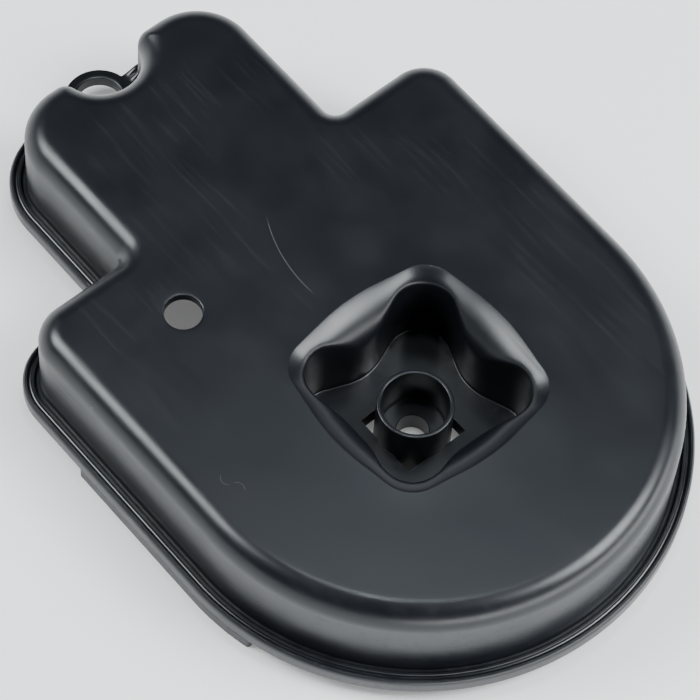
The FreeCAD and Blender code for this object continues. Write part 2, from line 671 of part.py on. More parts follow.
def make_grid():
    """The moulded grid under the filter: a frame with crossing bars."""
    level = "ledge_height - grid_depth"
    frame = ring_body("grid_outer", level,
                      round_end("grid_radius", "grid_reach", "grid_round"),
                      round_end("grid_radius - grid_band", "grid_reach - grid_band",
                                "grid_inner_round"),
                      "grid_depth")
    core = ring_body("grid_inner", level, rounded_square("grid_hole + grid_band", "opening_round"),
                     rounded_square("grid_hole", "opening_round"), "grid_depth")
    region = ring_body("grid_region", level, round_end("grid_radius", "grid_reach", "grid_round"),
                       rounded_square("grid_hole", "opening_round"), "grid_depth")
    bars = []
    steps = int(value("grid_radius / grid_pitch"))
    for step in range(-steps, steps + 1):
        for along, across in (("Length", "Width"), ("Width", "Length")):
            bar = doc.addObject("Part::Box", "grid_bar")
            centre = "%d * grid_pitch - grid_bar / 2" % step
            bar.setExpression(along, linked("2 * grid_radius"))
            bar.setExpression(across, linked("grid_bar"))
            bar.setExpression("Height", linked("grid_depth"))
            lengthwise = along == "Length"
            bar.setExpression("Placement.Base.x", linked("-grid_radius" if lengthwise else centre))
            bar.setExpression("Placement.Base.y", linked(centre if lengthwise else "-grid_radius"))
            bar.setExpression("Placement.Base.z", linked(level))
            bars.append(bar)
    lattice = doc.addObject("Part::MultiFuse", "grid_lattice")
    lattice.Shapes = bars
    clipped = doc.addObject("Part::Common", "grid_clipped")
    clipped.Base, clipped.Tool = lattice, region
    grid = doc.addObject("Part::MultiFuse", "support_grid")
    grid.Shapes = [clipped, frame, core]
    grid.Label = "support_grid"
    doc.recompute()
    return grid


# ---------------------------------------------------------------- filter panel

def filter_region(inset):
    """The filter's plan inside its outer rim and outside its inner rim."""
    return (round_end("filter_radius - (%s)" % inset, "filter_reach - (%s)" % inset,
                      "pan_round"),
            rounded_square("filter_hole + (%s)" % inset, "opening_round + (%s)" % inset))


def make_filter():
    """The filter panel: two rubber rims, wire mesh, pleated paper and a foam layer."""
    rim = ring_body("filter_rim", "ledge_height",
                    round_end("filter_radius", "filter_reach", "filter_round"),
                    filter_region("filter_band")[0], "filter_depth")
    core = ring_body("filter_core", "ledge_height", filter_region("filter_band")[1],
                     rounded_square("filter_hole", "opening_round"), "filter_depth")
    mesh = ring_body("filter_mesh", "ledge_height", *filter_region("filter_band"), "mesh_depth")
    foam = ring_body("foam_precleaner", "ledge_height + filter_depth",
                     round_end("filter_radius - foam_inset", "filter_reach - foam_inset",
                               "filter_round"),
                     rounded_square("filter_hole + foam_inset", "opening_round"), "foam_depth")
    return [rim, core, mesh, make_pleats(), foam]


def make_pleats():
    """The paper: a zigzag band along X, cut to the space between the two rims."""
    region = ring_body("pleat_region", "ledge_height + mesh_depth",
                       *filter_region("filter_band"), "filter_depth")
    pitch = value("pleat_pitch")
    paper = value("pleat_paper")
    low = value("ledge_height + mesh_depth")
    high = value("ledge_height + filter_depth - pleat_top") - paper
    reach = value("filter_radius")
    folds = 2 * math.ceil(2 * reach / pitch)
    zigzag = [Vector(-reach + pitch / 2 * fold, -reach, low if fold % 2 else high)
              for fold in range(folds)]
    upwards = Vector(0, 0, paper)
    outline = zigzag + [point + upwards for point in reversed(zigzag)]
    face = Part.Face(Part.makePolygon(outline + outline[:1]))
    band = doc.addObject("Part::Feature", "pleat_band")
    band.Shape = face.extrude(Vector(0, 2 * reach, 0))
    pleats = doc.addObject("Part::Common", "filter_pleats")
    pleats.Base, pleats.Tool = band, region
    pleats.Label = "filter_pleats"
    doc.recompute()
    return pleats


# ---------------------------------------------------------------- check and write

def write_parts(nodes):
    """Refuse anything that failed or isn't a valid solid, then write one file per node."""
    doc.recompute()
    failed = [item.Label for item in doc.Objects if {"Invalid", "Error"} & set(item.State)]
    if failed:
        raise RuntimeError("these objects failed: " + ", ".join(failed))
    for node in nodes:
        if node.Shape.isNull() or not node.Shape.isValid() or not node.Shape.Solids:
            raise RuntimeError(node.Label + " has no valid solid")
    os.makedirs("parts", exist_ok=True)
    for node in nodes:
        node.Shape.exportStep("parts/%s.step" % node.Label)
        box = node.Shape.BoundBox
        print("%-18s solids %d  volume %9.1f  x %.1f..%.1f  y %.1f..%.1f  z %.1f..%.1f" % (
            node.Label, len(node.Shape.Solids), node.Shape.Volume, box.XMin, box.XMax,
            box.YMin, box.YMax, box.ZMin, box.ZMax))


fill_sheet()
write_parts([make_cover(), make_tray(), make_seal(), make_grid(), make_breather(), make_drain()]
            + make_outlet() + make_bushes() + make_filter())
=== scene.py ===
"""Looks of the air filter housing: the moulded cover as a fine mesh, and materials for every piece."""
import json
import math

import bmesh
import bpy
import numpy as np
from mathutils import Matrix, Vector, geometry


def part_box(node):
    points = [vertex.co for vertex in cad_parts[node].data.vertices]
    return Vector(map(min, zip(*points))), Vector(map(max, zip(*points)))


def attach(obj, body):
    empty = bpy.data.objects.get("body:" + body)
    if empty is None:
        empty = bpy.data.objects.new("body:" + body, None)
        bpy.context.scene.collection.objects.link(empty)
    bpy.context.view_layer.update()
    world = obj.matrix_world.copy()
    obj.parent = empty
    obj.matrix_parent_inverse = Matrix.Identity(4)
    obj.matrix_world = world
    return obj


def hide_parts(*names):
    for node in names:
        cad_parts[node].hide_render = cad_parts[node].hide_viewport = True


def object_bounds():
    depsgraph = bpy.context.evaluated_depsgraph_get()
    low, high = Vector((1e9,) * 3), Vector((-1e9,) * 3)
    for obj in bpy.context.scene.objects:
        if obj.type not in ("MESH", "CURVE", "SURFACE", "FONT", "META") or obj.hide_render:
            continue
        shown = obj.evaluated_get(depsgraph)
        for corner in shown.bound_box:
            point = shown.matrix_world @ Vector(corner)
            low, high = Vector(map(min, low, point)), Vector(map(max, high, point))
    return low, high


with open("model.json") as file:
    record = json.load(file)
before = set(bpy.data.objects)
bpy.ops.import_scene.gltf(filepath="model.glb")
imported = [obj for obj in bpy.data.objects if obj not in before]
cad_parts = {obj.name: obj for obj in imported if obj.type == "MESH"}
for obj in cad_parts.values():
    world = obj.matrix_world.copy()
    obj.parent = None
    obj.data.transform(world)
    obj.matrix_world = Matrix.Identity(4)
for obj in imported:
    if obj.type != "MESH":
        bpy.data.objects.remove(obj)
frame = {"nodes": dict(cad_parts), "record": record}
CAD_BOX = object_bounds()
NODES = frame["nodes"]
MM = 0.001

# ---------------------------------------------------------------- sizes, in millimetres

COVER_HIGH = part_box("cover_shell")[1] / MM
FLANGE_WIDTH = 3.75
BODY = COVER_HIGH.y - FLANGE_WIDTH          # outside radius of the round end
ROOF = COVER_HIGH.z
FLANGE = 3.1                                # level of the flange's underside
SHOULDER_REACH, SHOULDER_ROUND = 60.4, 8.6
NECK_REACH, NECK_HALF, NECK_ROUND = 103.0, 28.2, 13.4
THROAT_ROUND = 2.5
WALL = 2.2
CROWN = 5.2
LEAD = 1.2                                  # a last ring on the flat, this far from an edge
ROOF_GRID, UNDER_GRID, FLOOR_GRID, FOOT_GRID = 2.5, 6.0, 2.5, 4.0
INNER_CROWN = 1.2
NOTCH = Vector((-103.1, -1.1))
NOTCH_RADIUS, MOUTH_ROUND = 9.0, 3.6
THROAT_LEAST, MOUTH_LEAST = 0.5, 0.9        # the rounds never get smaller than these
SIDE_HOLE, SIDE_BORE = Vector((-41.7, -27.6)), 4.0
EYELET, EYELET_RADIUS, EYELET_BORE = Vector((-105.0, 0.0)), 7.9, 5.2
EYELET_DEPTH = 2.6
LOBE_OFFSET, LOBE_RADIUS = 11.55, 6.9
BULGE_REACH, BULGE_ROUND = 15.3, 12.0
RIM_OFFSET, RIM_ROUND, RIM_REACH, RIM_SIDE = 13.4, 7.5, 22.6, 45.0
FLARE_DEPTH, WELL_WALL, WELL_FLOOR = 7.0, 2.0, 4.0
WINDOW_HALF = 7.7
RIM_SWELL, RIM_FADE = 0.12, 3.0             # the roof rises a little towards the well
BUMP_PLACE, ROOF_BUMP, BUMP_SPREAD = Vector((47.4, 0.9)), 0.07, 6.0
TUBE_RADIUS, TUBE_BORE, TUBE_TOP, BOLT_SEAT, BOLT_BORE = 8.1, 7.1, 13.5, 2.5, 3.4


# ---------------------------------------------------------------- plan outlines

def tangent_run(first, second):
    """Ends of the straight run from one arc to the next; an arc is (centre, radius, turn)."""
    across = second[0] - first[0]
    span = across.length
    lean = (second[2] * second[1] - first[2] * first[1]) / span
    along = across / span
    left = Vector((-along.y, along.x))
    normal = along * lean + left * math.sqrt(max(0.0, 1.0 - lean * lean))
    return first[0] - normal * (first[2] * first[1]), second[0] - normal * (second[2] * second[1])


def sample_outline(arcs, steps, run_steps=3):
    """Points along arcs and the straight runs between them, always the same number of points."""
    count = len(arcs)
    runs = [tangent_run(arcs[i], arcs[(i + 1) % count]) for i in range(count)]
    points = []
    for i, (centre, radius, turn) in enumerate(arcs):
        start, end = runs[i - 1][1] - centre, runs[i][0] - centre
        first = math.atan2(start.y, start.x)
        sweep = (math.atan2(end.y, end.x) - first) * turn % (2 * math.pi) * turn
        for step in range(steps[i] + 1):
            angle = first + sweep * step / steps[i]
            points.append(centre + Vector((math.cos(angle), math.sin(angle))) * radius)
        for step in range(1, run_steps + 1):
            points.append(runs[i][0].lerp(runs[i][1], step / (run_steps + 1)))
    return np.array(points)


def cover_arcs(grow):
    """The cover's plan grown outwards: round end, shoulders, throats, neck and its notch."""
    throat = max(THROAT_ROUND - grow, THROAT_LEAST)
    mouth = max(MOUTH_ROUND + grow, MOUTH_LEAST)
    notch_round = NOTCH_RADIUS - grow
    mouth_x = -NECK_REACH - grow + mouth
    rise = math.sqrt((notch_round + mouth) ** 2 - (mouth_x - NOTCH.x) ** 2)
    shoulder = (Vector((SHOULDER_ROUND - SHOULDER_REACH, BODY - SHOULDER_ROUND)),
                SHOULDER_ROUND + grow, 1)
    throat_arc = (Vector((-SHOULDER_REACH - grow - throat, NECK_HALF + grow + throat)), throat, -1)
    corner = (Vector((NECK_ROUND - NECK_REACH, NECK_HALF - NECK_ROUND)), NECK_ROUND + grow, 1)
    half = [shoulder, throat_arc, corner]
    other = [(Vector((centre.x, -centre.y)), radius, turn) for centre, radius, turn in half[::-1]]
    bump = [(Vector((mouth_x, NOTCH.y + rise)), mouth, 1), (NOTCH, notch_round, -1),
            (Vector((mouth_x, NOTCH.y - rise)), mouth, 1)]
    return [(Vector((0, 0)), BODY + grow, 1)] + half + bump + other


ARC_STEPS = [112, 16, 8, 20, 10, 32, 10, 20, 8, 16]
RUN_STEPS = 3


def wall_ring(grow):
    """Points of the wall's outline, with the notch."""
    return sample_outline(cover_arcs(grow), ARC_STEPS, RUN_STEPS)


WALL_FOOT = wall_ring(0.0)
RING = len(WALL_FOOT)


def notch_range():
    """Indices of the points that belong to the notch, its mouths and the runs beside them."""
    before = sum(ARC_STEPS[:4]) + 4 * (1 + RUN_STEPS) - RUN_STEPS
    after = before + 2 * RUN_STEPS + sum(ARC_STEPS[4:7]) + 3 + 2 * RUN_STEPS
    return before, after


def flange_ring(grow):
    """Points of the flange's outline, which runs straight past the notch."""
    points = wall_ring(grow).copy()
    first, last = notch_range()
    points[first:last, 0] = -NECK_REACH - grow
    points[first:last, 1] = WALL_FOOT[first:last, 1]
    return points


# ---------------------------------------------------------------- mesh building

class Skin:
    """Collects rings and faces, then becomes one welded mesh."""

    def __init__(self):
        self.points = []
        self.faces = []

    def ring(self, plan, height):
        """Add a closed ring of points; the height is one number or one for each point."""
        first = len(self.points)
        heights = np.broadcast_to(height, len(plan))
        self.points += [(x, y, z) for (x, y), z in zip(plan, heights)]
        return range(first, len(self.points))

    def bridge(self, upper, lower):
        """Join two rings of the same length with quads."""
        count = len(upper)
        for i in range(count):
            j = (i + 1) % count
            self.faces.append((upper[i], upper[j], lower[j], lower[i]))

    def stack(self, rings):
        """Join each ring to the next."""
        for upper, lower in zip(rings, rings[1:]):
            self.bridge(upper, lower)

    def plate(self, loops, level, spacing=None, upwards=True):
        """Fill the space inside the first loop and outside the others; level gives heights."""
        flat, edges = [], []
        for loop in loops:
            first = len(flat)
            flat += [Vector(point) for point in loop]
            edges += [(first + i, first + (i + 1) % len(loop)) for i in range(len(loop))]
        if spacing:
            flat += inner_grid(loops, spacing)
        points, _, faces, _, _, _ = geometry.delaunay_2d_cdt(flat, edges, [], 1, 1e-5)
        first = len(self.points)
        heights = level(np.array(points)) if callable(level) else [level] * len(points)
        self.points += [(x, y, z) for (x, y), z in zip(points, heights)]
        middles = np.array([sum((points[i] for i in face), Vector((0, 0))) / 3 for face in faces])
        keep = inside(loops[0], middles)
        for loop in loops[1:]:
            keep &= ~inside(loop, middles)
        for face, kept in zip(faces, keep):
            if kept:
                corners = [first + index for index in face]
                self.faces.append(corners if upwards else corners[::-1])

    def build(self, name):
        """Make the object, in metres, with coinciding points welded."""
        mesh = bpy.data.meshes.new(name)
        mesh.from_pydata([tuple(c * MM for c in point) for point in self.points], [], self.faces)
        bm = bmesh.new()
        bm.from_mesh(mesh)
        bmesh.ops.remove_doubles(bm, verts=bm.verts, dist=2e-6)
        bmesh.ops.dissolve_degenerate(bm, edges=bm.edges, dist=1e-7)
        bmesh.ops.recalc_face_normals(bm, faces=bm.faces)
        bm.to_mesh(mesh)
        bm.free()
        obj = bpy.data.objects.new(name, mesh)
        bpy.context.scene.collection.objects.link(obj)
        return obj


def inside(loop, points):
    """Which points lie inside the loop."""
    x, y = points[:, 0], points[:, 1]
    result = np.zeros(len(points), bool)
    for (x0, y0), (x1, y1) in zip(loop, np.roll(loop, -1, axis=0)):
        crosses = (y0 > y) != (y1 > y)
        with np.errstate(divide="ignore", invalid="ignore"):
            result ^= crosses & (x < x0 + (x1 - x0) * (y - y0) / (y1 - y0))
    return result


def gaps_to(loop, points):
    """How far each point is from the closed loop."""
    start = np.asarray(loop)[None]
    along = np.roll(start, -1, axis=1) - start
    offset = np.asarray(points)[:, None] - start
    share = (offset * along).sum(2) / np.maximum((along ** 2).sum(2), 1e-12)
    nearest = offset - np.clip(share, 0, 1)[..., None] * along
    return np.sqrt((nearest ** 2).sum(2).min(1))


def inner_grid(loops, spacing):
    """A triangular grid of points between the loops."""
    low, high = np.min(loops[0], axis=0), np.max(loops[0], axis=0)
    rows = np.arange(low[1], high[1], spacing * math.sqrt(0.75))
    grid = np.array([(x + (k % 2) * spacing / 2, y) for k, y in enumerate(rows)
                     for x in np.arange(low[0], high[0], spacing)])
    keep = inside(loops[0], grid) & (gaps_to(loops[0], grid) > spacing * 0.6)
    for loop in loops[1:]:
        keep &= ~inside(loop, grid) & (gaps_to(loop, grid) > spacing * 0.6)
    return [Vector(point) for point in grid[keep]]


def circle(centre, radius, count):
    """Points on a circle, anticlockwise."""
    angles = np.arange(count) * 2 * math.pi / count
    return np.stack([centre[0] + radius * np.cos(angles), centre[1] + radius * np.sin(angles)], 1)


# ---------------------------------------------------------------- the well

WELL_STEPS = 256
FLARE_STEPS = 12
FLARE_STRAIGHT = 0.45                       # share of a straight slope in the flare's curve
FLARE_BLEND = 0.5                           # softness of the line between flare and lobes
WELL_CORNER = 0.5                           # round between the well's wall and its floor
THETA = (np.arange(WELL_STEPS) + 0.5) * 2 * math.pi / WELL_STEPS


def four_sided(corner_offset, corner, side_centre, side, side_turn):
    """Four corner arcs on the diagonals, with an arc on each side between them."""
    arcs = []
    for quarter in range(4):
        turn = Matrix.Rotation(quarter * math.pi / 2, 2)
        arcs.append((turn @ Vector((corner_offset, -corner_offset)), corner, 1))
        arcs.append((turn @ Vector((side_centre, 0)), side, side_turn))
    return arcs


def radius_of(arcs):
    """Distance from the axis to an outline, in every direction of THETA."""
    points = sample_outline(arcs, [40] * len(arcs), 12)
    return np.interp(THETA, *by_angle(points), period=2 * math.pi)


def by_angle(points):
    """(angles, distances) of the points, sorted by angle."""
    angles = np.arctan2(points[:, 1], points[:, 0]) % (2 * math.pi)
    order = np.argsort(angles)
    return angles[order], np.hypot(points[:, 0], points[:, 1])[order]


def low_radius():
    """Radius of the lower well: four lobes with a bulge between each two."""
    return radius_of(four_sided(LOBE_OFFSET, LOBE_RADIUS, BULGE_REACH + BULGE_ROUND,
                                BULGE_ROUND, -1))


def rim_radius():
    """Radius of the well's rim: bowed sides and round corners."""
    return radius_of(four_sided(RIM_OFFSET, RIM_ROUND, RIM_REACH - RIM_SIDE, RIM_SIDE, 1))


def well_plan(radius):
    """Points round the well's axis at the given radius in every direction."""
    return np.stack([radius * np.cos(THETA), radius * np.sin(THETA)], 1)


def flare_inset(share):
    """How far the flare has come in, at a share of its run: between a straight and a round."""
    return FLARE_STRAIGHT * share + (1 - FLARE_STRAIGHT) * np.sin(share * math.pi / 2)


def flare_drop(share):
    """How deep the flare is at the same share."""
    return FLARE_STRAIGHT * share + (1 - FLARE_STRAIGHT) * (1 - np.cos(share * math.pi / 2))


def well_levels():
    """(height, radius in every direction) from the rim down to the floor."""
    low, rim = low_radius(), rim_radius()
    levels = [(ROOF, rim)]
    for share in np.linspace(0, 1, FLARE_STEPS + 1)[1:]:
        flare = rim - flare_inset(share) * (RIM_REACH - BULGE_REACH)
        apart = np.sqrt((low - flare) ** 2 + FLARE_BLEND ** 2)
        radius = (low + flare + apart) / 2 - FLARE_BLEND / 4
        levels.append((ROOF - flare_drop(share) * FLARE_DEPTH, radius))
    below = ROOF - FLARE_DEPTH
    bottom = FLANGE + WELL_FLOOR
    for height in (below - 2, below - 5, bottom + LEAD, bottom + WELL_CORNER):
        levels.append((height, low))
    levels.append((bottom + 0.3 * WELL_CORNER, low - 0.3 * WELL_CORNER))
    levels.append((bottom, low - WELL_CORNER))
    return levels


# ---------------------------------------------------------------- the cover

def crown_levels(height, width, count=16):
    """(inset, height) from the roof's edge down to the wall, along a quarter round."""
    angles = [math.pi / 2 * step / count for step in range(count + 1)]
    return [(width * (1 - math.sin(a)), height - width * (1 - math.cos(a))) for a in angles]


def notch_share():
    """1 for the points inside the notch, 0 elsewhere, with soft ends."""
    first, last = notch_range()
    share = np.zeros(RING)
    y = WALL_FOOT[first:last, 1] - NOTCH.y
    share[first:last] = np.clip((NOTCH_RADIUS + MOUTH_ROUND - np.abs(y)) / MOUTH_ROUND, 0, 1)
    return share * share * (3 - 2 * share)


# (outwards from the wall, height above the flange's underside)
FLANGE_PROFILE = [(0.0, 5.4), (0.0, 4.3), (0.12, 3.7), (0.35, 3.35), (0.75, 3.3), (1.05, 3.45),
                  (1.2, 3.85), (1.35, 4.0), (1.75, 4.0), (1.9, 3.85), (2.05, 3.5), (2.3, 3.4),
                  (2.5, 3.5), (2.7, 3.8), (2.9, 3.92), (3.3, 3.86), (3.6, 3.6), (3.74, 3.2),
                  (3.75, 2.6), (3.75, 0.6), (3.7, 0.25), (3.5, 0.05), (3.2, 0.0)]


def add_outside(skin):
    """Roof edge, crown, wall and flange, from the top down; returns the last ring, at the flange's
    underside.
    """
    edge = wall_ring(-CROWN - LEAD)
    rings = [skin.ring(edge, roof_level(edge))]
    for inset, height in crown_levels(ROOF, CROWN):
        rings.append(skin.ring(wall_ring(-inset), height))
    for height in (ROOF - 9, ROOF - 13, FLANGE + 8):
        rings.append(skin.ring(WALL_FOOT, height))
    share = notch_share()
    for outwards, height in FLANGE_PROFILE:
        top = np.minimum(height, EYELET_DEPTH)
        levels = FLANGE + height * (1 - share) + top * share
        rings.append(skin.ring(flange_ring(outwards) if outwards > 0 else WALL_FOOT, levels))
    skin.stack(rings)
    return rings[-1]


def add_inside(skin, foot):
    """Underside of the flange, inner wall and inner crown, up to the roof's underside."""
    rings = [foot]
    under = ROOF - WALL
    for height in (FLANGE, FLANGE + 8, FLANGE + 15):
        rings.append(skin.ring(wall_ring(-WALL), height))
    for inset, height in crown_levels(under, INNER_CROWN, 4)[::-1]:
        rings.append(skin.ring(wall_ring(-WALL - inset), height))
    skin.stack(rings)


def add_well(skin):
    """The well's inside down to its floor, and its outside under the roof."""
    levels = well_levels()
    rim = levels[0][1]
    lead_in = [well_plan(rim + apart) for apart in (LEAD, 0.22, 0.0)]
    rings = [skin.ring(plan, roof_level(plan)) for plan in lead_in]
    skin.stack(rings + [skin.ring(well_plan(radius), height) for height, radius in levels[1:]])
    skin.plate([well_plan(levels[-1][1])], levels[-1][0], FLOOR_GRID)
    outside = [(min(height, ROOF - WALL), radius + WELL_WALL) for height, radius in levels[:-3]]
    outside = [outside[2]] + outside[3:] + [(FLANGE, levels[-3][1] + WELL_WALL)]
    skin.stack([skin.ring(well_plan(radius), height) for height, radius in outside])
    skin.plate([well_plan(outside[-1][1])], FLANGE, FOOT_GRID, upwards=False)
    return lead_in[0], well_plan(outside[0][1])


def roof_level(plan):
    """Height of the roof's skin over the plan: a swell round the well and one low bump."""
    plan = np.asarray(plan)
    gaps = gaps_to(well_plan(rim_radius()), plan)
    from_bump = ((plan - np.array(BUMP_PLACE)) ** 2).sum(1)
    return (ROOF + RIM_SWELL * np.exp(-gaps / RIM_FADE)
            + ROOF_BUMP * np.exp(-from_bump / BUMP_SPREAD))


def add_side_hole(skin):
    """The side bolt's hole, with a small round at its top edge."""
    count = 64
    profile = [(SIDE_BORE + 0.5, ROOF), (SIDE_BORE + 0.35, ROOF - 0.01),
               (SIDE_BORE + 0.12, ROOF - 0.1), (SIDE_BORE, ROOF - 0.35),
               (SIDE_BORE, ROOF - WALL + 0.3), (SIDE_BORE + 0.2, ROOF - WALL)]
    edge = circle(SIDE_HOLE, SIDE_BORE + LEAD, count)
    rings = [skin.ring(edge, roof_level(edge))]
    rings += [skin.ring(circle(SIDE_HOLE, radius, count), height) for radius, height in profile]
    skin.stack(rings)
    return edge, circle(SIDE_HOLE, profile[-1][0], count)


def revolve(name, centre, profile, count=96):
    """A closed ring solid from an outline of (radius, height) points."""
    skin = Skin()
    rings = [skin.ring(circle(centre, radius, count), height) for radius, height in profile]
    skin.stack(rings + rings[:1])
    return skin.build(name)


def prism(name, plan, low, high):
    """A plain solid with the given plan."""
    skin = Skin()
    bottom, top = skin.ring(plan, low), skin.ring(plan, high)
    skin.bridge(top, bottom)
    skin.faces += [tuple(top), tuple(reversed(bottom))]
    return skin.build(name)


def combine(target, tool, operation):
    """Apply one boolean and drop the tool."""
    modifier = target.modifiers.new("combine", "BOOLEAN")
    modifier.object = tool
    modifier.operation = operation
    modifier.solver = "EXACT"
    depsgraph = bpy.context.evaluated_depsgraph_get()
    mesh = bpy.data.meshes.new_from_object(target.evaluated_get(depsgraph))
    target.modifiers.clear()
    old = target.data
    target.data = mesh
    bpy.data.meshes.remove(old)
    bpy.data.objects.remove(tool)


def make_cover():
    """The whole cover as one closed mesh."""
    skin = Skin()
    foot = add_outside(skin)
    add_inside(skin, foot)
    well_top, well_under = add_well(skin)
    hole_top, hole_under = add_side_hole(skin)
    skin.plate([wall_ring(-CROWN - LEAD), well_top, hole_top], roof_level, ROOF_GRID)
    inner_edge = wall_ring(-WALL - INNER_CROWN)
    skin.plate([inner_edge, well_under, hole_under], ROOF - WALL, UNDER_GRID, upwards=False)
    cover = skin.build("cover_skin")
    half = WINDOW_HALF
    square = [(half, half), (-half, half), (-half, -half), (half, -half)]
    combine(cover, prism("window", square, FLANGE - 1, FLANGE + WELL_FLOOR + 1), "DIFFERENCE")
    combine(cover, make_tube(), "UNION")
    hole = circle(EYELET, EYELET_BORE + 0.5, 96)
    combine(cover, prism("eyelet_hole", hole, FLANGE - 1, FLANGE + 8), "DIFFERENCE")
    combine(cover, make_eyelet(), "UNION")
    return cover


def make_tube():
    """The centre tube with its thin tip, the bolt's seat and the foot on the rest plane."""
    top = FLANGE + TUBE_TOP
    seat = FLANGE + BOLT_SEAT
    return revolve("tube", (0, 0), [
        (TUBE_RADIUS - 0.3, top), (TUBE_RADIUS - 0.09, top - 0.09), (TUBE_RADIUS, top - 0.3),
        (TUBE_RADIUS, FLANGE + WELL_FLOOR + 1), (TUBE_RADIUS, 0.3), (TUBE_RADIUS - 0.3, 0.0),
        (BOLT_BORE + 0.3, 0.0), (BOLT_BORE, 0.3), (BOLT_BORE, seat - 0.2),
        (BOLT_BORE + 0.2, seat), (TUBE_BORE - 0.4, seat), (TUBE_BORE, seat + 0.4),
        (TUBE_BORE, top - 0.3), (TUBE_BORE + 0.09, top - 0.09), (TUBE_BORE + 0.3, top)], 128)


def make_eyelet():
    """The eyelet's ring with its raised lip round the hole."""
    low = FLANGE
    high = FLANGE + EYELET_DEPTH
    return revolve("eyelet", EYELET, [
        (EYELET_RADIUS, high - 0.5), (EYELET_RADIUS, low + 0.4), (EYELET_RADIUS - 0.4, low),
        (EYELET_BORE + 0.3, low), (EYELET_BORE, low + 0.3), (EYELET_BORE, high + 0.15),
        (EYELET_BORE + 0.12, high + 0.42), (EYELET_BORE + 0.35, high + 0.5),
        (EYELET_BORE + 0.6, high + 0.42), (EYELET_BORE + 0.8, high + 0.1),
        (EYELET_BORE + 1.1, high), (EYELET_RADIUS - 0.5, high), (EYELET_RADIUS - 0.15, high - 0.12)],
        96)


def smooth(obj, angle=32.0):
    """Shade smoothly, keep real corners sharp, and let large faces set the normals."""
    mesh = obj.data
    mesh.shade_smooth()
    mesh.set_sharp_from_angle(angle=math.radians(angle))
    weighted = obj.modifiers.new("weighted", "WEIGHTED_NORMAL")
    weighted.keep_sharp = True
    weighted.mode = "FACE_AREA"
    weighted.weight = 50


# ---------------------------------------------------------------- materials

# hairlines: centre and radius of the arc, the middle of its seen part, its reach and width
LONG_SCRATCH = ((-31.6, 31.2), 35.4, (-38.5, -2.5), 11.0, 0.10)
CURLS = [((-6.3, -44.6), 1.6, (-6.3, -46.2), 1.8, 0.07),
         ((-3.2, -45.0), 1.6, (-3.6, -43.4), 1.8, 0.07)]
GATE = (BODY, 0.5, 12.0)


